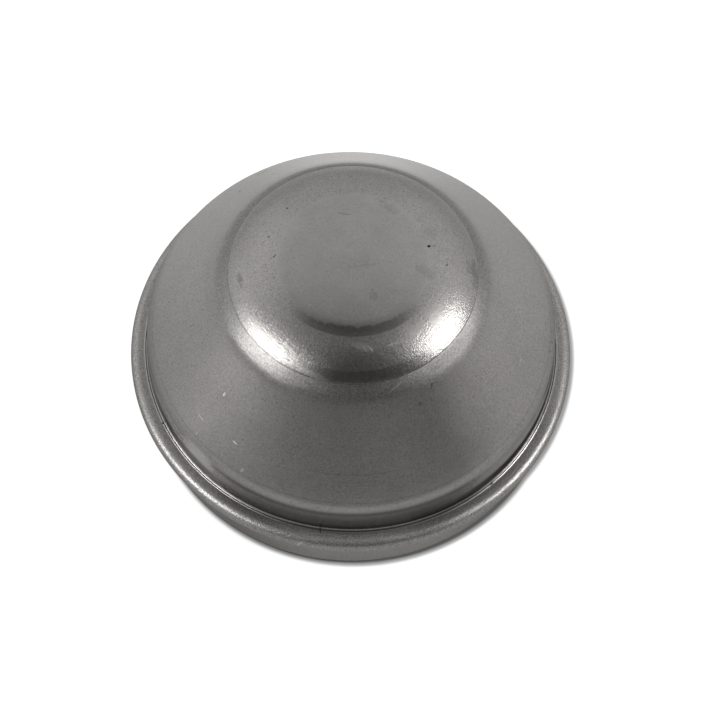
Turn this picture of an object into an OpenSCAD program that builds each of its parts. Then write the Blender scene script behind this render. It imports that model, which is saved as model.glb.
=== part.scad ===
// Hub grease cap, drawn from one disc of steel sheet.
// The origin is the middle of the open foot, and +Z is the cap's axis, pointing away from the hub.
// The whole cap is one run of bends and straights, and its inner face is the outer one
// moved in by the sheet's thickness, so the wall is as thick in a bend as beside it.

/* [Sheet] */
// Thickness of the steel sheet
sheet = 1.1; // [0.6:0.05:1.25]
// Gap left between the two layers of the folded bead
fold_gap = 0.1; // [0.05:0.05:0.3]

/* [Press-in skirt] */
// Outer diameter of the skirt that is pressed into the hub
skirt_d = 50.3; // [42:0.1:70]
// Depth of the skirt below the bead
skirt_depth = 7.1; // [4:0.1:15]
// Bend under the bead, measured on its outside
skirt_bend = 0.25; // [0.15:0.05:0.4]
// Width that the lead at the foot takes off the skirt's radius
lead_width = 0.25; // [0.1:0.05:0.5]
// Height of the lead at the foot
lead_height = 0.5; // [0.2:0.1:2]

/* [Folded bead] */
// How far the bead stands out from the skirt
bead_overhang = 1.6; // [1.45:0.05:4]

/* [Wall] */
// How far the wall above the bead lies inside the skirt's outside
wall_inset = 0.55; // [0:0.05:1.5]
// Straight height of the wall above its foot bend
wall_height = 3.3; // [1:0.1:6]
// Lean of the wall towards the axis, in degrees
wall_lean = 3.5; // [0:0.5:8]
// Hollow bend between the bead's top and the wall
wall_bend = 0.45; // [0.2:0.05:0.8]
// Rounding at the top of the wall
shoulder_round = 3; // [2:0.1:5]

/* [Flank and boss] */
// Height of the boss's foot above the bead's top
boss_foot_height = 16.8; // [13:0.1:20]
// Diameter at the boss's foot
boss_d = 28.4; // [22:0.1:34]
// Rounding of the upper flank
flank_round = 15; // [8:0.5:30]
// How much the flank steepens over that rounding, in degrees
flank_bow = 9.5; // [4:0.5:14]
// Hollow of the fine line around the boss's foot
boss_foot_bend = 0.6; // [0.3:0.1:2]
// How much steeper the boss is than the flank at that line, in degrees
boss_step = 3; // [1:0.5:12]
// Rounding of the boss's side
boss_round = 10; // [4:0.2:13]
// Radius of the low crown on the boss's top
crown_round = 120; // [60:5:400]

/* [Hidden] */
steel = [0.55, 0.55, 0.54];
$fn = 180;
// Turn of one facet of a bend, in degrees, in a shallow bend and in a tight one
fine_turn = 3;
tight_turn = 15;
// Most of the flank's length that its rounding takes, and of the boss's radius that the boss's does
flank_share = 0.8;
boss_share = 0.9;
// Two points nearer than this share of the sheet's thickness are one point
same_share = 0.001;

skirt_r = skirt_d / 2;
boss_r = boss_d / 2;
nose_round = sheet + fold_gap / 2;
bead_top = skirt_depth + 2 * nose_round;
wall_slope = 90 - wall_lean;

// Direction that a face of the given slope looks in: straight up at 0, outwards at 90, down at 180
function facing(slope) = [sin(slope), cos(slope)];

// A bend: its centre, the outer face's radius (negative in a hollow), and its first and last slope
function bend(centre, radius, first, last, turn) = [centre, radius, first, last, turn];

// The points of a bend on the face that lies the given depth under the outer one
function bend_points(b, depth) =
    let (steps = max(1, ceil(abs(b[3] - b[2]) / b[4])))
    [for (i = [0:steps]) b[0] + (b[1] - depth) * facing(b[2] + (b[3] - b[2]) * i / steps)];

// The face that lies the given depth under the outer one, where a point that two bends share counts once
function face(bends, depth) = distinct([for (b = bends) each bend_points(b, depth)]);

function distinct(points) = [
    for (i = [0:len(points) - 1])
        if (i == 0 || norm(points[i] - points[max(0, i - 1)]) > same_share * sheet) points[i]
];

function backwards(points) = [for (i = [len(points) - 1:-1:0]) points[i]];

// The bead and the skirt, from the foot up
skirt_bend_centre = [skirt_r + skirt_bend, skirt_depth - skirt_bend];
nose_centre = [skirt_r + bead_overhang - nose_round, skirt_depth + nose_round];
wall_bend_centre = [skirt_r - wall_inset + wall_bend, bead_top + wall_bend];

// The wall and its rounding
wall_start = wall_bend_centre - wall_bend * facing(wall_slope);
wall_end = wall_start + wall_height * [-tan(wall_lean), 1];
shoulder_centre = wall_end - shoulder_round * facing(wall_slope);

// The flank turns through its bow from the boss's foot on, then runs as a straight cone that touches
// the shoulder's rounding. On a short flank its rounding is smaller, so that it has room.
boss_foot = [boss_r, bead_top + boss_foot_height];
from_shoulder = boss_foot - shoulder_centre;
flank_bend = min(flank_round, flank_share * norm(from_shoulder) / sin(flank_bow));
cone_slope = atan2(from_shoulder[0], from_shoulder[1])
    + acos((shoulder_round - flank_bend * (1 - cos(flank_bow))) / norm(from_shoulder));
flank_slope = cone_slope - flank_bow;
flank_centre = boss_foot - flank_bend * facing(flank_slope);

// The fine hollow line around the boss's foot, and the boss's rounding above it
boss_slope = flank_slope + boss_step;
boss_foot_centre = boss_foot + boss_foot_bend * facing(flank_slope);
boss_bend = min(boss_round, boss_share * boss_r / sin(boss_slope));
boss_centre = boss_foot_centre - (boss_foot_bend + boss_bend) * facing(boss_slope);

// The crown touches the boss's rounding and is level at the axis
crown_slope = asin(boss_centre[0] / (crown_round - boss_bend));
crown_centre = [0, boss_centre[1] - (crown_round - boss_bend) * cos(crown_slope)];

bends = [
    bend(crown_centre, crown_round, 0, crown_slope, fine_turn / 3),
    bend(boss_centre, boss_bend, crown_slope, boss_slope, fine_turn),
    bend(boss_foot_centre, -boss_foot_bend, boss_slope, flank_slope, fine_turn),
    bend(flank_centre, flank_bend, flank_slope, cone_slope, fine_turn),
    bend(shoulder_centre, shoulder_round, cone_slope, wall_slope, fine_turn * 2),
    bend(wall_bend_centre, -wall_bend, wall_slope, 0, tight_turn),
    bend(nose_centre, nose_round, 0, 180, tight_turn),
    bend(skirt_bend_centre, -skirt_bend, 180, 90, tight_turn)
];

// The foot's edge, with a lead on its outside
foot = [
    [skirt_r, lead_height],
    [skirt_r - lead_width, 0],
    [skirt_r - sheet, 0]
];

module grease_cap() {
    color(steel)
        rotate_extrude()
            polygon(concat(face(bends, 0), foot, backwards(face(bends, sheet))));
}

grease_cap();
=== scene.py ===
"""A bare steel hub grease cap on a pale floor, under plain soft studio light.

The cap is one surface, a profile of bends turned round its axis, with satin steel worked out by nodes.
Lengths are in metres. The origin is the middle of the open foot, and +Z is the cap's axis.
"""

import math

import bpy
import numpy as np
from mathutils import Matrix, Quaternion, Vector


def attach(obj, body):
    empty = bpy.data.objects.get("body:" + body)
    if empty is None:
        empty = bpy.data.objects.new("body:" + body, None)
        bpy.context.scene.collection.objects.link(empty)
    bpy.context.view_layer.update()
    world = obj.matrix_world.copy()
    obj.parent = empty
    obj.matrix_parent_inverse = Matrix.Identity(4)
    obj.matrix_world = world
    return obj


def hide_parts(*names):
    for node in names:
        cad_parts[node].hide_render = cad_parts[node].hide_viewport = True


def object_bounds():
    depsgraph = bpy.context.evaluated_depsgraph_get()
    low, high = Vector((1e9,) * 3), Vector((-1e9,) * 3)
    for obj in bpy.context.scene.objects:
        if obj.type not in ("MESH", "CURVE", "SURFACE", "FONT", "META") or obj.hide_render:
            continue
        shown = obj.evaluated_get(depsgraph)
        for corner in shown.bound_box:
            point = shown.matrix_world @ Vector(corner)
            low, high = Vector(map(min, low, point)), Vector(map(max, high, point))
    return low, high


bl_info = {
    "name": "Hub Grease Cap",
    "version": (1, 0, 0),
    "blender": (4, 5, 0),
    "location": "View3D > Sidebar > Grease Cap",
    "description": "Builds a drawn steel hub grease cap and the stage that it stands on",
    "category": "Object",
}

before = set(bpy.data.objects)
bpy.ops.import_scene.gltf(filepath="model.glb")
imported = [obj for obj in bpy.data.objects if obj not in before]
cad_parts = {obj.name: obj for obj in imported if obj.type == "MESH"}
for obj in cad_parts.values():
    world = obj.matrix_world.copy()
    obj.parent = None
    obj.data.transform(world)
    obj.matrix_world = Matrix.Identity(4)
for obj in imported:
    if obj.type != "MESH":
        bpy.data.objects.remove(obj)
cad_low, cad_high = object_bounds()

MM = 0.001
WAY_LAYER = "along"

# Places on the outer face, as the distance in mm along the profile from the crown's middle
BOSS_FOOT, FOLD, BEAD, FACE_END = 14.94, 35.46, 35.60, 46.9
# Fine ridges and grooves of the outer face: place along the profile, width and height, in mm
LIP, FOOT_GROOVE, ROLL_IN = (FOLD + 0.07, 0.06, 0.035), (BOSS_FOOT, 0.09, -0.012), (30.0, 0.8, -0.035)


def length(name, description, default, low=0.0, high=1.0):
    """A length in metres for a property group."""
    return bpy.props.FloatProperty(
        name=name, description=description, default=default, min=low, max=high, unit="LENGTH", precision=5)


def angle(name, description, degrees):
    """An angle for a property group, given in degrees."""
    return bpy.props.FloatProperty(
        name=name, description=description, default=math.radians(degrees), subtype="ANGLE", unit="ROTATION")


def share(name, description, default, high=1.0):
    """A plain number for a property group."""
    return bpy.props.FloatProperty(name=name, description=description, default=default, min=0.0, max=high)


def colour(name, description, default):
    """A linear colour for a property group."""
    return bpy.props.FloatVectorProperty(
        name=name, description=description, default=default, size=3, subtype="COLOR", min=0.0, max=1.0)


class CapSizes(bpy.types.PropertyGroup):
    """The cap's sizes. Only the bead's width is missing, which comes from the frame."""

    sheet: length("Sheet", "Thickness of the steel sheet", 1.1 * MM)
    fold_gap: length("Fold gap", "Gap left between the two layers of the folded bead", 0.1 * MM)
    skirt_d: length("Skirt diameter", "Outer diameter of the skirt that is pressed into the hub", 50.3 * MM)
    skirt_depth: length("Skirt depth", "Depth of the skirt below the bead", 7.1 * MM)
    skirt_bend: length("Skirt bend", "Bend under the bead, on its outside", 0.25 * MM)
    lead_width: length("Lead width", "Width that the lead at the foot takes off the skirt", 0.25 * MM)
    lead_height: length("Lead height", "Height of the lead at the foot", 0.5 * MM)
    wall_inset: length("Wall inset", "How far the wall lies inside the skirt's outside", 0.55 * MM)
    wall_height: length("Wall height", "Straight height of the wall above its foot bend", 3.3 * MM)
    wall_lean: angle("Wall lean", "Lean of the wall towards the axis", 3.5)
    wall_bend: length("Wall bend", "Hollow bend between the bead's top and the wall", 0.45 * MM)
    shoulder_round: length("Shoulder rounding", "Rounding at the top of the wall", 3.0 * MM)
    boss_foot_height: length("Boss foot height", "Height of the boss's foot above the bead's top", 16.8 * MM)
    boss_d: length("Boss diameter", "Diameter at the boss's foot", 28.4 * MM)
    flank_round: length("Flank rounding", "Rounding of the upper flank", 15.0 * MM)
    flank_bow: angle("Flank bow", "How much the flank steepens over its rounding", 9.5)
    boss_foot_bend: length("Boss foot bend", "Hollow of the fine line around the boss's foot", 0.6 * MM)
    boss_step: angle("Boss step", "How much steeper the boss is than the flank at that line", 3.0)
    boss_round: length("Boss rounding", "Rounding of the boss's side", 10.0 * MM)
    crown_round: length("Crown radius", "Radius of the low crown on the boss's top", 120.0 * MM)
    turns: bpy.props.IntProperty(
        name="Facets round", description="Facets round the cap", default=336, min=24, max=720)
    rings: bpy.props.IntProperty(
        name="Rings", description="Rings along the whole profile", default=290, min=60, max=600)


class SteelLooks(bpy.types.PropertyGroup):
    """The steel's colour and gloss."""

    steel: colour("Steel", "Colour of the bare steel", (0.56, 0.543, 0.525))
    # The grime colour also paints shade: in the wall's corner, the fold and lines, at the skirt's foot, and
    # dark reflections on the boss.
    grime_and_shade: colour("Grime", "Colour of the dirt in the corners, lines and pits", (0.05, 0.048, 0.046))
    # The scratched colour also paints a highlight on the shoulder and wall at the left.
    scratch_and_sheen: colour("Scratched steel", "Colour of fresh scratches", (0.86, 0.85, 0.83))
    roughness: share("Roughness", "Roughness of the clean steel", 0.25)
    grain: length("Grain", "Size of the steel's fine grain", 0.13 * MM)
    peel: length("Peel", "Size of the coarser grain where the sheet was stretched", 0.26 * MM)
    relief: length("Relief", "Depth of the steel's fine relief", 0.01 * MM)


class StageLooks(bpy.types.PropertyGroup):
    """The floor, the lamps and the studio's walls."""

    floor: colour("Floor", "Colour of the pale floor as it lights the cap", (0.64, 0.64, 0.64))
    floor_seen: colour("Floor seen", "Colour of the floor for the camera", (0.85, 0.85, 0.85))
    contact_shade: colour("Contact shade", "Colour of the floor right under the cap's foot", (0.3, 0.3, 0.3))
    floor_width: length("Floor width", "Width of the square floor", 6.0, high=20.0)
    glow: share("Glow", "How much the floor glows for the camera, so that it is white", 0.74)
    glow_in_steel: share("Glow in the steel", "How much the floor behind the cap glows in the steel", 0.4)
    studio_grey: share("Studio grey", "Radiance of the studio's walls", 0.4)
    lamp_power: share("Lamp strength", "Radiance of each soft box", 7.5, high=100.0)


def facing(slope):
    """Unit vectors (outwards, up) that faces of these slopes look along: (sin(slope), cos(slope))."""
    return np.stack([np.sin(slope), np.cos(slope)], axis=-1)


def cap_bends(size):
    """The outer face as bends (centre, radius, first slope, last slope), from the crown down to the skirt.
    A hollow has a negative radius. Bends that follow one another touch, because their centres lie on the
    normal where they meet, and cone_slope is that of the line that touches the flank's rounding and the
    shoulder's."""
    quarter = math.pi / 2
    skirt_r, boss_r = size.skirt_d / 2, size.boss_d / 2
    nose_round = size.sheet + size.fold_gap / 2
    bead_r = cad_high.x
    bead_top = size.skirt_depth + 2 * nose_round
    wall_slope = quarter - size.wall_lean
    skirt_centre = np.array([skirt_r + size.skirt_bend, size.skirt_depth - size.skirt_bend])
    nose_centre = np.array([bead_r - nose_round, size.skirt_depth + nose_round])
    wall_centre = np.array([skirt_r - size.wall_inset + size.wall_bend, bead_top + size.wall_bend])
    wall_start = wall_centre - size.wall_bend * facing(wall_slope)
    wall_end = wall_start + size.wall_height * np.array([-math.tan(size.wall_lean), 1])
    shoulder_centre = wall_end - size.shoulder_round * facing(wall_slope)
    boss_foot = np.array([boss_r, bead_top + size.boss_foot_height])
    apart = boss_foot - shoulder_centre
    reach = size.shoulder_round - size.flank_round * (1 - math.cos(size.flank_bow))
    cone_slope = math.atan2(*apart) + math.acos(reach / np.hypot(*apart))
    flank_slope = cone_slope - size.flank_bow
    flank_centre = boss_foot - size.flank_round * facing(flank_slope)
    boss_slope = flank_slope + size.boss_step
    line_centre = boss_foot + size.boss_foot_bend * facing(flank_slope)
    boss_centre = line_centre - (size.boss_foot_bend + size.boss_round) * facing(boss_slope)
    crown_apart = size.crown_round - size.boss_round
    crown_slope = math.asin(boss_centre[0] / crown_apart)
    crown_centre = np.array([0, boss_centre[1] - crown_apart * math.cos(crown_slope)])
    return [
        (crown_centre, size.crown_round, 0, crown_slope),
        (boss_centre, size.boss_round, crown_slope, boss_slope),
        (line_centre, -size.boss_foot_bend, boss_slope, flank_slope),
        (flank_centre, size.flank_round, flank_slope, cone_slope),
        (shoulder_centre, size.shoulder_round, cone_slope, wall_slope),
        (wall_centre, -size.wall_bend, wall_slope, 0),
        (nose_centre, nose_round, 0, math.pi),
        (skirt_centre, -size.skirt_bend, math.pi, quarter),
    ]


def face_line(bends, depth):
    """Points (radius, height) and slopes on the face that lies `depth` under the outer one.
    Each bend gives centre + (radius - depth) * facing(slope), with the slope in even steps."""
    points, slopes = [], []
    spacing = 0.01 * MM
    for centre, radius, first, last in bends:
        count = max(2, int(abs(last - first) * abs(radius - depth) / spacing))
        slope = np.linspace(first, last, count)
        points.append(centre + (radius - depth) * facing(slope))
        slopes.append(slope)
    return np.concatenate(points), np.concatenate(slopes)


def along(points):
    """Distance of each point from the first, along the line."""
    steps = np.hypot(*np.diff(points, axis=0).T)
    return np.concatenate([[0.0], np.cumsum(steps)])


def ring_places(distance, slopes, corners, count):
    """Where the rings go along a line: closer together in its bends and by its corners.
    They are even in this measure: distance / stride + angle turned so far / tight + a smooth step at each
    corner, step * (1 + tanh((distance - corner) / reach))."""
    stride, tight, step, reach, samples = 0.42 * MM, math.radians(4.5), 3.0, 0.12 * MM, 20000
    turned = np.concatenate([[0.0], np.cumsum(np.abs(np.diff(slopes)))])
    measure = distance / stride + turned / tight
    fine = np.linspace(0, distance[-1], samples)
    measure = np.interp(fine, distance, measure)
    for corner in corners:
        measure = measure + step * (1 + np.tanh((fine - corner) / reach))
    return np.interp(np.linspace(measure[0], measure[-1], count), measure, fine)


def ridge(way, middle, width, height):
    """A smooth ridge along the profile: height * exp(-((way - middle) / width) ** 2)."""
    return height * np.exp(-((way - middle) / width) ** 2)


def cap_lines(size):
    """The rings of the whole sheet: down the outer face, over the foot and up the inner face to the axis.
    Gives their radius, height, slope and distance along the profile, and where the outer face ends."""
    bends = cap_bends(size)
    outer, outer_slope = face_line(bends, 0)
    inner, inner_slope = face_line(bends, size.sheet)
    skirt_r, quarter = size.skirt_d / 2, math.pi / 2
    foot = np.array([[skirt_r, size.lead_height], [skirt_r - size.lead_width, 0], [skirt_r - size.sheet, 0]])
    foot_slope = [quarter, quarter + math.atan2(size.lead_width, size.lead_height), math.pi]
    line = np.concatenate([outer, foot, inner[::-1]])
    slope = np.concatenate([outer_slope, foot_slope, inner_slope[::-1] + math.pi])
    distance = along(line)
    first_foot = len(outer)
    corners = np.append(distance[first_foot:first_foot + len(foot)], np.array([BOSS_FOOT, FOLD, BEAD]) * MM)
    bent = np.concatenate([outer_slope, [quarter] * len(foot), inner_slope[::-1]])
    places = ring_places(distance, bent, corners, size.rings)
    radius, height, slope = (np.interp(places, distance, values) for values in (*line.T, slope))
    return radius, height, slope, places, distance[first_foot - 1]


def turned_mesh(name, radius, height, angle_round):
    """A closed surface of rings, with a pole at each end: each point is at
    (radius * sin(angle_round), -radius * cos(angle_round), height).
    radius and height are grids, rings by turns, and their first and last rings lie on the axis."""
    rings, turns = radius.shape
    grid = np.stack([radius * np.sin(angle_round), -radius * np.cos(angle_round), height], axis=-1)
    top, bottom = grid[0].mean(axis=0) * (0, 0, 1), grid[-1].mean(axis=0) * (0, 0, 1)
    points = np.concatenate([[top], grid[1:-1].reshape(-1, 3), [bottom]])
    ring = np.arange(rings - 3)[:, None] * turns + 1
    turn = np.arange(turns)[None, :]
    after = (turn + 1) % turns
    quads = np.stack([ring + turn, ring + turns + turn, ring + turns + after, ring + after], axis=-1)
    last_ring = (rings - 3) * turns + 1
    first_fan = np.stack([np.zeros(turns, int), 1 + turn[0], 1 + after[0]], axis=-1)
    last_fan = np.stack([last_ring + turn[0], np.full(turns, len(points) - 1), last_ring + after[0]], axis=-1)
    mesh = bpy.data.meshes.new(name)
    faces = first_fan.tolist() + quads.reshape(-1, 4).tolist() + last_fan.tolist()
    mesh.from_pydata(points.tolist(), [], faces)
    mesh.shade_smooth()
    piece = bpy.data.objects.new(name, mesh)
    bpy.context.scene.collection.objects.link(piece)
    return piece


def cap_surface(size):
    """The cap: its rings turned round the axis, with its outer face moved along its normal by
    lip * (1 - worn) + the groove at the boss's foot + the roll-in by the shoulder, each of them a ridge.
    worn = gone * (tanh((ahead - worn_from) / soft) - tanh((ahead - worn_to) / soft)) / 2, where ahead is the
    angle round the cap from the front, in degrees."""
    radius, height, slope, places, outer_end = cap_lines(size)
    turn = np.arange(size.turns) * 2 * math.pi / size.turns
    radius, height, slope, places = (a[:, None] for a in (radius, height, slope, places))
    way = places / MM
    ahead = np.degrees((turn + math.pi) % (2 * math.pi) - math.pi)[None, :]
    worn_from, worn_to, gone = -6, 25, 0.85
    worn = gone * (np.tanh((ahead - worn_from) / 1.5) - np.tanh((ahead - worn_to) / 4)) / 2
    lift = ridge(way, *LIP) * (1 - worn) + ridge(way, *FOOT_GROOVE) + ridge(way, *ROLL_IN)
    lift = np.where(places <= outer_end, lift * MM, 0)
    piece = turned_mesh("cap", radius + lift * np.sin(slope), height + lift * np.cos(slope), turn[None, :])
    way = np.broadcast_to(way, lift.shape)
    way = np.concatenate([way[:1, 0], way[1:-1].ravel(), way[-1:, 0]])
    layer = piece.data.attributes.new(WAY_LAYER, "FLOAT", "POINT")
    layer.data.foreach_set("value", way.astype(np.float32))
    return piece


class Wire:
    """A socket that takes part in Python expressions. Each operation adds a Math node."""

    def __init__(self, graph, socket):
        self.graph, self.socket = graph, socket

    def maths(self, operation, *values, clamp=False):
        """A Math node on this wire and the values after it."""
        return self.graph.node(
            "Math", {"operation": operation, "use_clamp": clamp}, dict(enumerate((self, *values))))

    def __add__(self, value):
        return self.maths("ADD", value)

    def __sub__(self, value):
        return self.maths("SUBTRACT", value)

    def __rsub__(self, value):
        return self.graph.node("Math", {"operation": "SUBTRACT"}, {0: value, 1: self})

    def __mul__(self, value):
        return self.maths("MULTIPLY", value)

    def __truediv__(self, value):
        return self.maths("DIVIDE", value)

    def __pow__(self, value):
        return self.maths("POWER", value)

    def __neg__(self):
        return self.maths("MULTIPLY", -1.0)

    __radd__, __rmul__ = __add__, __mul__

    def held(self):
        """The value held between 0 and 1."""
        return self.maths("ADD", 0.0, clamp=True)

    def over(self, low, high):
        """0 at `low` and 1 at `high`, with a smooth rise between. Where low is the larger it falls."""
        ends = {1: low, 2: high, 3: 0.0, 4: 1.0} if low < high else {1: high, 2: low, 3: 1.0, 4: 0.0}
        return self.graph.node("MapRange", {"interpolation_type": "SMOOTHSTEP"}, {0: self, **ends})

    def between(self, low, high, soft):
        """1 between two values, with soft sides."""
        return self.over(low - soft, low + soft) * self.over(high + soft, high - soft)


class Graph:
    """The node tree of a material or of the world, emptied and built up node by node."""

    def __init__(self, owner):
        owner.use_nodes = True
        self.tree = owner.node_tree
        self.tree.nodes.clear()

    def node(self, kind, settings, values, output=0):
        """Adds a node of a type, sets its settings, then its sockets by place or name. Gives one output."""
        made = self.tree.nodes.new("ShaderNode" + kind)
        for key, value in settings.items():
            setattr(made, key, value)
        for key, value in values.items():
            socket = made.inputs[key]
            if isinstance(value, Wire):
                self.tree.links.new(value.socket, socket)
            else:
                socket.default_value = value
        return Wire(self, made.outputs[output])

    def blend(self, factor, first, second):
        """A mix of two colours."""
        first, second = (v if isinstance(v, Wire) else (*v, 1.0) for v in (first, second))
        return self.node("Mix", {"data_type": "RGBA"}, {0: factor, 6: first, 7: second}, output=2)

    def noise(self, place, size, detail=3.0):
        """Noise whose features have about this size in metres."""
        return self.node("TexNoise", {}, {
            "Vector": place, "Scale": 1 / size, "Detail": detail, "Roughness": 0.6})

    def ray(self, kind):
        """1 on rays of a kind, such as Camera, and 0 on others."""
        return self.node("LightPath", {}, {}, output=f"Is {kind} Ray")

    def finish(self, shader, kind="OutputMaterial"):
        """Adds the output node and links the shader to its surface."""
        output = self.tree.nodes.new("ShaderNode" + kind)
        self.tree.links.new(shader.socket, output.inputs["Surface"])


# Marks on the outer face: middle x and y, half length and half width in mm, direction in degrees, strength

# Dirt specks and smudges, and painted dark reflections on the boss's sides
SPECKS = (
    (-7.73, 6.66, 0.14, 0.12, 0, 0.9), (0.73, 9.25, 0.12, 0.09, 0, 0.8),
    (8.39, 2.01, 0.30, 0.19, 35, 1.0), (8.95, 2.15, 0.35, 0.10, 10, 0.4),
    (-8.87, 0.15, 0.30, 0.11, 45, 0.8), (-9.59, 2.75, 0.18, 0.13, 60, 0.6),
    (10.43, -0.14, 0.16, 0.14, 0, 0.8), (2.30, -4.75, 0.70, 0.50, 80, 0.20),
    # The long marks at (-12.55, -2.30), (13.75, -0.30) and (12.95, 0.40) are painted dark reflections on the
    # boss's sides.
    (2.15, -3.95, 0.16, 0.14, 0, 0.3), (-12.55, -2.30, 1.20, 0.32, 105, 0.35),
    (13.75, -0.30, 2.3, 0.55, 97, 0.38), (12.95, 0.40, 1.2, 0.35, 95, 0.25),
    (9.08, -13.09, 0.42, 0.20, 70, 0.75), (9.30, -13.80, 0.50, 0.09, 100, 0.5),
    (9.60, -12.45, 0.8, 0.12, 15, 0.45), (7.84, -14.90, 0.28, 0.20, 20, 0.6),
    (8.35, -15.55, 0.60, 0.07, 125, 0.45), (8.0, -13.4, 1.6, 0.5, 20, 0.22),
    (23.75, -2.18, 0.20, 0.14, 20, 0.6), (23.44, -3.50, 0.16, 0.12, 0, 0.5),
    (-13.90, 14.78, 0.38, 0.14, 40, 0.7), (-13.18, 8.08, 0.20, 0.12, 20, 0.7),
    (-12.38, 6.93, 0.22, 0.16, 0, 0.7), (-11.53, 19.0, 0.9, 0.22, 15, 0.4),
    (-1.10, 5.78, 0.95, 0.10, -8, 0.30), (-2.92, -24.72, 0.45, 0.13, 97, 1.0),
    (16.81, -18.35, 0.40, 0.16, 35, 1.0), (-21.87, -11.75, 0.35, 0.14, 25, 0.9),
    (-10.0, 17.0, 0.2, 0.12, 0, 0.4), (1.1, -0.9, 3.6, 0.16, 10, 0.10),
)
# Patches of finer dots
DOTTED_PATCHES = (
    (3.75, 7.1, 1.7, 0.9, -40, 1.0), (8.0, -1.3, 1.5, 0.9, -35, 0.9),
    (8.3, 3.8, 1.2, 1.0, 0, 0.6), (8.3, -13.9, 1.9, 1.0, 20, 0.7),
)
# Fresh scratches and bright dents
SCRATCHES = (
    (5.05, -14.0, 1.15, 0.05, 40, 0.55), (-14.09, -13.03, 0.24, 0.18, 30, 0.8),
    (-16.88, -14.29, 0.65, 0.05, -52, 0.45), (-17.33, -15.61, 0.22, 0.10, 20, 0.5),
    (-12.77, -17.58, 0.42, 0.06, -40, 0.8), (19.61, -6.66, 0.30, 0.06, 60, 0.7),
    (-11.93, -20.04, 0.32, 0.22, 10, 0.4), (-5.20, -26.13, 0.55, 0.10, 10, 0.8),
    (1.3, -10.65, 1.7, 0.5, -12, 0.32), (4.5, -10.15, 1.0, 0.10, 22, 0.6),
    (-14.6, -12.4, 0.4, 0.05, -50, 0.3), (2.1, -10.75, 0.55, 0.09, -50, 0.9),
    (1.5, -10.85, 0.5, 0.08, -50, 0.8), (0.7, -10.7, 0.4, 0.08, -40, 0.6),
    (-4.1, -13.24, 2.3, 0.32, -22, 0.3),
)
# A painted highlight on the shoulder and wall at the left, in the scratches' colour
WALL_SHEEN = ((-17.5, -17.5, 3.6, 0.9, -45, 0.9),)


def strongest(first, *others):
    """The largest of several masks at each point."""
    for other in others:
        first = first.maths("MAXIMUM", other)
    return first


def mark_mask(steel, ragged, marks):
    """The strongest of a table of oval marks: full in a mark's middle, and 0 outside its ragged edge."""
    masks = []
    for x, y, long, wide, turned, strength in marks:
        c, s = cosine(turned), sine(turned)
        parts = []
        for ux, uy, half in ((c, s, long), (-s, c, wide)):
            ux, uy = ux / (half * MM), uy / (half * MM)
            dot = steel.graph.node(
                "VectorMath", {"operation": "DOT_PRODUCT"}, {0: steel.place, 1: (ux, uy, 0)}, output="Value")
            parts.append(dot - (x * ux + y * uy) * MM)
        reach = parts[0] * parts[0] + parts[1] * parts[1] + ragged
        masks.append(reach.over(1.0, 0.2) * strength)
    return strongest(*masks)


class SteelMap:
    """Where a point of the cap lies, and the noises and zones that the steel is made from.
    `way` is its distance along the outer face from the crown's middle, in mm. `turn` is its angle round the
    cap, in degrees, 0 in front and growing to the right, and `aside` is that angle without its sign."""

    def __init__(self, graph, looks):
        self.graph = graph
        self.place = graph.node("TexCoord", {}, {}, output="Object")
        x, y = (graph.node("SeparateXYZ", {}, {0: self.place}, output=axis) for axis in "XY")
        nearest = 0.01 * MM
        off_axis = ((x * x + y * y) ** 0.5).maths("MAXIMUM", nearest)
        self.way = graph.node("Attribute", {"attribute_name": WAY_LAYER}, {}, output="Fac")
        self.turn = x.maths("ARCTAN2", -y) * math.degrees(1)
        self.aside = self.turn.maths("ABSOLUTE")
        self.outer = self.way.over(FACE_END, FACE_END - 0.2)

        def rolled(round_count, count, detail):
            """Noise that is drawn out round the cap: features per radian, and per mm along the profile."""
            place = {0: x / off_axis * round_count, 1: y / off_axis * round_count, 2: self.way * count}
            return graph.noise(graph.node("CombineXYZ", {}, place), 1.0, detail)

        self.grain = graph.noise(self.place, looks.grain)
        self.peel = rolled(48, MM / looks.peel, detail=2.0)
        self.cloud = graph.noise(self.place, 4.5 * MM, detail=5.0)
        self.ragged = graph.noise(self.place, 0.9 * MM, detail=4.0)
        self.fine = graph.noise(self.place, 0.3 * MM)
        self.dotted = graph.noise(self.place, 0.2 * MM, detail=1.0)
        self.streak = rolled(63, 0.12, detail=3.0)
        self.lines = rolled(14, 7, detail=2.0)

        self.crown = (self.way + self.ragged * 1.4).over(9.75, 9.3)
        self.stretched = self.way.between(9.2, 16.3, 0.9) * (1 - self.crown)
        self.coined = self.way.between(35.75, 38.0, 0.12)
        # Painted light: steel_tone lightens the bead's front top here.
        self.bead_front = self.way.between(35.6, 37.0, 0.2) * self.aside.over(28, 10)

        self.crease = self.way.between(BOSS_FOOT - 0.05, BOSS_FOOT + 0.04, 0.035) * (0.1 + self.ragged * 0.9)
        self.crease = self.crease * (1 - self.turn.between(-56, -34, 8) * 0.7)
        self.below_boss = self.way.over(BOSS_FOOT - 0.01, BOSS_FOOT + 0.06)
        duller_right = self.turn.between(34, 60, 8) - self.turn.between(-60, -30, 8)
        self.dull = self.below_boss * self.way.over(17.9, 15.6) * (1 + duller_right * 0.7)


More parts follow.
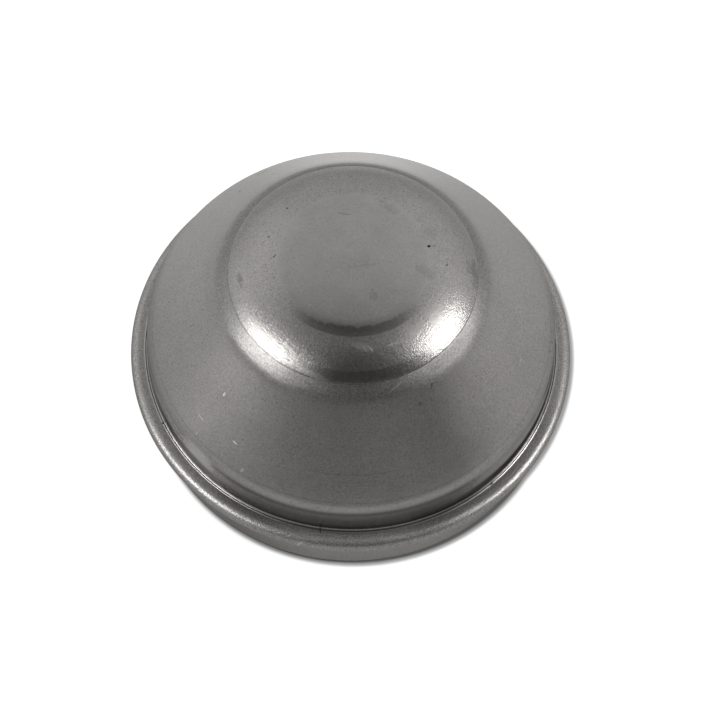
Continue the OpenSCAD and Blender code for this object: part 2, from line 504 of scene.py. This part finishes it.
def boss_dirt_and_shade(steel):
    """A darker line round the boss's foot, painted dark reflections on its front, and a darker veil on the
    flank below.
    """
    way, turn, ragged = steel.way, steel.turn, steel.ragged
    # Painted dark reflection: a crescent on the front of the boss's top.
    crescent = (way + (ragged - 0.5) * 1.6).between(8.6, 10.6, 0.16) * way.over(9.75, 9.6)
    crescent = crescent * turn.between(-36, 42, 14) * 0.42
    # Painted dark reflection: a band just above the line on the boss's front.
    band = (way + (steel.fine - 0.5) * 0.5).between(13.5, 15.5, 0.1) * turn.between(-14, 38, 8)
    band = band * way.over(BOSS_FOOT + 0.03, BOSS_FOOT - 0.04) * 0.36
    # The veil is partly duller steel and partly painted shade, deepest at the back of the flank below the
    # line.
    back = way.over(13.8, 14.6) * way.over(20.5, 17.5) * steel.aside.over(125, 170)
    veil = steel.dull * 0.2 + steel.below_boss * way.over(20.5, 16.5) * 0.07 + back * 0.24
    # Ragged specks, and painted shade that makes the left highlight end sooner on the flank.
    beside_glare = way.between(16.7, 17.7, 0.9) * turn.between(-62, -26, 8) * (0.14 + ragged * 0.6)
    return strongest(steel.crease, crescent, band, veil, beside_glare)


def flank_lines(steel):
    """Three short draw rings low on the flank's front, and the faint line above the shoulder."""
    way = steel.way
    rings = way.between(25.95, 26.02, 0.05) + way.between(26.95, 27.02, 0.04) * 0.7
    rings = rings + way.between(27.3, 27.36, 0.04) * 0.4
    return strongest(rings * steel.turn.between(-13, 15, 3) * 0.3, way.between(29.62, 29.72, 0.06) * 0.3)


def wall_shade(steel):
    """Painted shade below the shoulder, deeper down the wall and towards the sides, as far as the bend at its
    foot.
    """
    way, turn, aside = steel.way, steel.turn, steel.aside
    shoulder = way.over(30.6, 31.4) * 0.42 + way.between(31.2, 31.9, 0.3) * 0.26
    shoulder = shoulder * (aside.over(46, 30) + aside.over(62, 74))
    low_wall = way.over(32.8, 34.1) * (0.22 + aside.over(0, 45) * 0.74)
    low_wall = low_wall * (1 - turn.between(-56, -36, 6) * 0.45)
    wall = strongest(shoulder, low_wall) + way.over(30.9, 31.4) * 0.04
    right = way.over(30.9, 31.5) * turn.between(33, 70, 8) * 0.22
    wall = strongest(wall, right) * (1 - turn.between(-100, -62, 8) * 0.35)
    left_foot = way.between(34.78, 35.06, 0.05) * turn.between(-57, -33, 6) * 0.75
    return strongest(wall, left_foot) * way.over(35.22, 35.06)


def bead_shade(steel):
    """Painted shade in the fold beside the bead, over its top and highlights, and as a contact line at the
    skirt's foot.
    """
    way, turn = steel.way, steel.turn
    fold = way.between(FOLD - 0.075, FOLD + 0.05, 0.02) * 0.95
    # Painted shade that dims the fillet's highlight on the right.
    fold = fold + way.between(35.05, 35.4, 0.05) * turn.between(25, 72, 8) * 0.3
    top = way.between(35.72, 36.5, 0.1) * (0.08 + turn.between(-33, 70, 9) * 0.24) * steel.aside.over(4, 26)
    # Painted shade that trims the upper side of the bead's highlight on the right.
    top = top + way.between(36.45, 36.84, 0.09) * turn.between(38, 74, 8) * 0.55
    # A painted contact shade along the skirt's foot.
    foot = way.over(46.35, 46.55) * 0.75
    return strongest(fold, top, foot)


def specks_and_dark_reflections(steel, edge):
    """The single specks and smudges, three painted dark reflections on the boss's sides, and patches of finer
    dots.
    """
    specks = mark_mask(steel, edge, SPECKS) * steel.way.over(39.0, 38.8)
    dots = mark_mask(steel, edge, DOTTED_PATCHES) * (0.08 + steel.dotted.over(0.5, 0.64) * 0.24)
    return strongest(specks, dots)


def scratches_and_sheen(steel, edge):
    """Fresh scratches on the outer face, and a painted highlight on the shoulder and wall at the left."""
    scratches = mark_mask(steel, edge, SCRATCHES) * steel.outer
    wall_sheen = mark_mask(steel, edge, WALL_SHEEN) * steel.way.over(33.6, 32.6) * steel.way.over(30.4, 30.9)
    return strongest(scratches, wall_sheen)


def steel_tone(steel):
    """How light the bare steel is: slow clouds, faint streaks round the cap, fine dots, and painted light on
    the bead's front.
    """
    fine, dotted, crown = steel.fine - 0.5, steel.dotted - 0.5, steel.crown
    tone = 0.86 + steel.cloud * (0.2 + crown * 0.16) + (steel.streak - 0.5) * (1 - crown) * 0.09
    tone = tone + (steel.ragged - 0.5) * 0.1 + fine * 0.16 + dotted * (0.65 - crown * 0.4)
    # Painted light: the bead's front top is lightened by 0.12.
    tone = tone + (steel.grain.over(0.38, 0.62) - 0.5) * steel.coined * 0.5 + steel.bead_front * 0.12
    return tone + dotted * steel.way.between(15.0, 17.0, 0.6) * 0.7


def steel_roughness(steel, looks, specks, marks, low_wall_shade):
    """How rough the steel is: duller below the boss, on the coined bead, in specks, on the lower wall and
    inside the cap.
    """
    rough = looks.roughness + (steel.cloud - 0.5) * 0.06 + steel.dull * 0.1 + steel.stretched * 0.02
    rough = rough + steel.coined * 0.12 + specks * 0.25 + marks * 0.08 + (1 - steel.outer) * 0.1
    rough = rough + low_wall_shade * steel.aside.over(32, 52) * 0.5 + steel.way.between(35.4, 35.5, 0.025) * 0.3
    return (rough + steel.bead_front * 0.06).held()


def steel_relief(steel, marks):
    """The height that the bump follows: fine grain, coarser where stretched, and coined grain on the bead."""
    grain, peel, ragged = steel.grain - 0.5, steel.peel - 0.5, steel.ragged - 0.5
    fine, dotted, lines = steel.fine - 0.5, steel.dotted - 0.5, steel.lines - 0.5
    stretched, coined = steel.stretched, steel.coined
    height = grain * (0.5 + stretched * 1.4) + peel * (stretched * 1.7 + coined * 2.5)
    height = height + ragged * stretched * 1.3 + lines * stretched * 1.6
    height = height + (grain * 1.4 + fine * 0.6) * steel.way.between(15.0, 16.6, 0.5)
    return height + dotted * coined * 3.2 + steel.streak * 0.35 - steel.crease * 1.2 + dotted * marks * 6


def steel_material(looks):
    """Satin bare steel with a rolled crown, a grainy stretched ring, grimy specks, light marks, and painted
    shade and light.
    """
    material = bpy.data.materials.new("bare_steel")
    graph = Graph(material)
    steel = SteelMap(graph, looks)
    edge = (steel.fine - 0.5) * 3.4
    # Besides real specks and scratches, these masks paint shade on the wall, dark reflections on the boss's
    # sides and a highlight on the wall at the left.
    specks, marks, low_wall_shade = specks_and_dark_reflections(steel, edge), scratches_and_sheen(steel, edge * 0.5), wall_shade(steel)
    pits = steel.dotted.over(0.34, 0.26) * (0.3 - steel.crown * 0.18)
    # Real specks and pits, together with the painted shade and dark reflections of the boss's, wall's and
    # bead's masks.
    dirt_and_shade = strongest(specks, pits, low_wall_shade, boss_dirt_and_shade(steel), flank_lines(steel), bead_shade(steel))
    tone = steel_tone(steel)
    tint = graph.node("VectorMath", {"operation": "SCALE"}, {0: tuple(looks.steel), "Scale": tone})
    # The grime colour goes on the real specks and pits and on all the painted shade.
    tint = graph.blend(dirt_and_shade * steel.outer, tint, looks.grime_and_shade)
    # The scratched colour goes on the scratches and on the painted highlight on the wall at the left.
    tint = graph.blend(marks, tint, looks.scratch_and_sheen)
    roughness = steel_roughness(steel, looks, specks, marks, low_wall_shade)
    bump = graph.node("Bump", {}, {
        "Strength": 1.0, "Distance": looks.relief, "Height": steel_relief(steel, marks)})
    graph.finish(graph.node("BsdfPrincipled", {}, {
        "Base Color": tint, "Metallic": 1.0, "Roughness": roughness, "Normal": bump}))
    return material


class GREASECAP_OT_cap(bpy.types.Operator):
    """Builds the cap as one closed sheet surface, in satin bare steel"""

    bl_idname = "greasecap.cap"
    bl_label = "Build Cap"

    def execute(self, context):
        scene = context.scene
        piece = cap_surface(scene.cap_sizes)
        piece.data.materials.append(steel_material(scene.steel_looks))
        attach(piece, "root")
        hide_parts("grease_cap")
        return {"FINISHED"}


def floor_material(looks):
    """A pale floor that keeps the cap's shade.
    Its glow makes it white for the camera, and is fainter in the steel."""
    material = bpy.data.materials.new("pale_floor")
    graph = Graph(material)
    camera, glossy, glass = (graph.ray(kind) for kind in ("Camera", "Glossy", "Transmission"))
    place = graph.node("NewGeometry", {}, {}, output="Position")
    x, y = (graph.node("SeparateXYZ", {}, {0: place}, output=axis) for axis in "XY")
    behind = y.over(15 * MM, 35 * MM) * y.over(85 * MM, 50 * MM)
    behind = behind * (0.35 + 0.65 * x.between(-12 * MM, 12 * MM, 12 * MM))

    def disc(middle_x, middle_y, reach, soft):
        """1 inside a circle on the floor, given in mm, and 0 past its soft edge."""
        off_x, off_y = x - middle_x * MM, y - middle_y * MM
        return ((off_x * off_x + off_y * off_y) ** 0.5).over((reach + soft) * MM, reach * MM)

    # Painted shade: the camera sees the darker contact colour at the foot's edge, and the glow is left out
    # inside two discs, round the foot and beside the bead's right side.
    contact = disc(0.38, 0.02, 25.02, 0.25)
    open_floor = 1 - strongest(disc(0.38, 0.02, 25.26, 0.65), disc(0.5, 4.0, 27.52, 0.65))
    glow = looks.glow * (camera + glass).held() * open_floor + behind * glossy * looks.glow_in_steel
    paint = graph.blend(camera, looks.floor, graph.blend(contact, looks.floor_seen, looks.contact_shade))
    graph.finish(graph.node("BsdfPrincipled", {}, {
        "Base Color": paint, "Roughness": 1.0, "Specular IOR Level": 0.0,
        "Emission Color": glow, "Emission Strength": 1.0}))
    return material


def sine(degrees):
    """The sine of an angle in degrees."""
    return math.sin(math.radians(degrees))


def cosine(degrees):
    """The cosine of an angle in degrees."""
    return math.cos(math.radians(degrees))


def direction(azimuth, elevation):
    """The unit vector towards an azimuth (0 in front, growing to the right) and an elevation, in degrees."""
    flat = cosine(elevation)
    return Vector((sine(azimuth) * flat, -cosine(azimuth) * flat, sine(elevation)))


# Lighter parts of the studio: azimuth and elevation of the middle, how far from it each is full and where it
# ends, all in degrees, and by what share it is lighter
LIGHTER_PARTS = (
    (-128, 32, 8, 40, 0.24), (134, 42, 8, 40, 0.26), (84, 46, 3, 22, 1.3),
    (-129, 45, 4, 24, 0.28), (133, 49, 2, 13, 0.2), (-102, 9, 5, 32, 0.3),
)
# Darker parts, in the same measure
DARKER_PARTS = ((0, 84, 12, 36, 0.55), (180, 80, 5, 15, 0.85), (0, 2, 30, 80, 0.45), (62, 4, 8, 36, 0.4))


def studio_world(looks):
    """White behind everything for the camera, and a grey studio for the light with a dark column in front."""
    world = bpy.data.worlds.new("studio")
    graph = Graph(world)
    toward = graph.node("TexCoord", {}, {}, output="Generated")
    x, y, z = (graph.node("SeparateXYZ", {}, {0: toward}, output=axis) for axis in "XYZ")

    def near(azimuth, elevation, full, end):
        """1 within `full` degrees of a direction, and 0 past `end`."""
        way = direction(azimuth, elevation)
        return (x * way.x + y * way.y + z * way.z).over(cosine(end), cosine(full))

    flat = ((x * x + y * y) ** 0.5).maths("MAXIMUM", 0.01)
    column_way = direction(12, 0)
    column = ((x * column_way.x + y * column_way.y) / flat).over(cosine(62), cosine(26))
    column = column * z.over(sine(6), sine(30)) * z.over(sine(76), sine(67))
    lighter = 1
    for azimuth, elevation, full, end, gain in LIGHTER_PARTS:
        lighter = near(azimuth, elevation, full, end) * gain + lighter
    grey = looks.studio_grey * lighter * (1 - 0.8 * column)
    for azimuth, elevation, full, end, loss in DARKER_PARTS:
        grey = grey * (1 - loss * near(azimuth, elevation, full, end))
    white = (graph.ray("Camera") + graph.ray("Transmission")).held()
    background = graph.node("Background", {}, {"Color": grey * (1 - white) + white, "Strength": 1.0})
    graph.finish(background, "OutputWorld")
    return world


def soft_box(name, azimuth, elevation, width, tall, roll, radiance):
    """An area lamp 1 m away that looks at the cap from an azimuth and an elevation, in degrees.
    A roll lifts the end that lies further right round the cap."""
    data = bpy.data.lights.new(name, "AREA")
    data.shape = "RECTANGLE"
    data.size, data.size_y = width, tall
    data.energy = radiance * math.pi * width * tall
    lamp = bpy.data.objects.new(name, data)
    toward = direction(azimuth, elevation)
    lamp.location = toward
    turned = toward.to_track_quat("Z", "Y") @ Quaternion((0, 0, 1), math.radians(roll))
    lamp.rotation_euler = turned.to_euler()
    lamp.visible_camera = False
    bpy.context.scene.collection.objects.link(lamp)


def photo_camera():
    """A pinhole camera in front of the cap, whose pose was fitted to the round edges in the photograph.
    It looks from `tilt` above the horizon, `distance` away from the cap's middle, and is rolled a little."""
    tilt, roll = 1.09398, 0.03982
    distance, centre_height = 216 * MM, 7.5 * MM
    aside, lower = 1.146 * MM, -1.480 * MM
    focal, sensor = 88.233, 36.0
    centre = Vector((0, 0, centre_height))
    eye = centre + distance * Vector((0, -math.cos(tilt), math.sin(tilt)))
    aim = centre + Vector((aside, 0, 0)) + lower * Vector((0, math.sin(tilt), math.cos(tilt)))
    ahead = (aim - eye).normalized()
    right = ahead.cross(Vector((0, 0, 1))).normalized()
    up = right.cross(ahead)
    right, up = (
        right * math.cos(roll) + up * math.sin(roll),
        up * math.cos(roll) - right * math.sin(roll),
    )
    data = bpy.data.cameras.new("photo_camera")
    data.sensor_width, data.lens = sensor, focal
    data.clip_start, data.clip_end = 0.01, 20.0
    camera = bpy.data.objects.new("photo_camera", data)
    camera.matrix_world = Matrix((
        (right.x, up.x, -ahead.x, eye.x),
        (right.y, up.y, -ahead.y, eye.y),
        (right.z, up.z, -ahead.z, eye.z),
        (0, 0, 0, 1),
    ))
    bpy.context.scene.collection.objects.link(camera)
    bpy.context.scene.camera = camera


# The soft boxes: azimuth and elevation in degrees, width and height in metres, and roll in degrees
SOFT_BOXES = {"left_box": (-65, 28, 0.58, 0.17, 23), "right_box": (79, 30, 0.33, 0.34, -20)}


class GREASECAP_OT_stage(bpy.types.Operator):
    """Adds the pale floor, the studio's light and the camera"""

    bl_idname = "greasecap.stage"
    bl_label = "Build Stage"

    def execute(self, context):
        scene = context.scene
        looks = scene.stage_looks
        half = looks.floor_width / 2
        mesh = bpy.data.meshes.new("floor")
        corners = [(-half, -half, 0), (half, -half, 0), (half, half, 0), (-half, half, 0)]
        mesh.from_pydata(corners, [], [(0, 1, 2, 3)])
        mesh.materials.append(floor_material(looks))
        floor = bpy.data.objects.new("floor", mesh)
        scene.collection.objects.link(floor)
        scene.world = studio_world(looks)
        for name, place in SOFT_BOXES.items():
            soft_box(name, *place, looks.lamp_power)
        photo_camera()
        scene.view_settings.view_transform = "Standard"
        return {"FINISHED"}


class GREASECAP_PT_panel(bpy.types.Panel):
    """Lists the cap's and the stage's builders in the sidebar"""

    bl_idname = "GREASECAP_PT_panel"
    bl_label = "Grease Cap"
    bl_space_type = "VIEW_3D"
    bl_region_type = "UI"
    bl_category = "Grease Cap"

    def draw(self, context):
        layout = self.layout
        for operator in OPERATORS:
            layout.operator(operator.bl_idname)
        for group in (context.scene.cap_sizes, context.scene.steel_looks, context.scene.stage_looks):
            for key in type(group).__annotations__:
                layout.prop(group, key)


GROUPS = {"cap_sizes": CapSizes, "steel_looks": SteelLooks, "stage_looks": StageLooks}
OPERATORS = (GREASECAP_OT_cap, GREASECAP_OT_stage)
CLASSES = (*GROUPS.values(), *OPERATORS, GREASECAP_PT_panel)


def register():
    """Registers the classes and hangs the property groups on the scene."""
    for cls in CLASSES:
        bpy.utils.register_class(cls)
    for name, group in GROUPS.items():
        setattr(bpy.types.Scene, name, bpy.props.PointerProperty(type=group))


def unregister():
    """Undoes register."""
    for name in GROUPS:
        delattr(bpy.types.Scene, name)
    for cls in reversed(CLASSES):
        bpy.utils.unregister_class(cls)


def main():
    """Builds everything."""
    register()
    bpy.ops.greasecap.cap()
    bpy.ops.greasecap.stage()


if __name__ == "__main__":
    main()
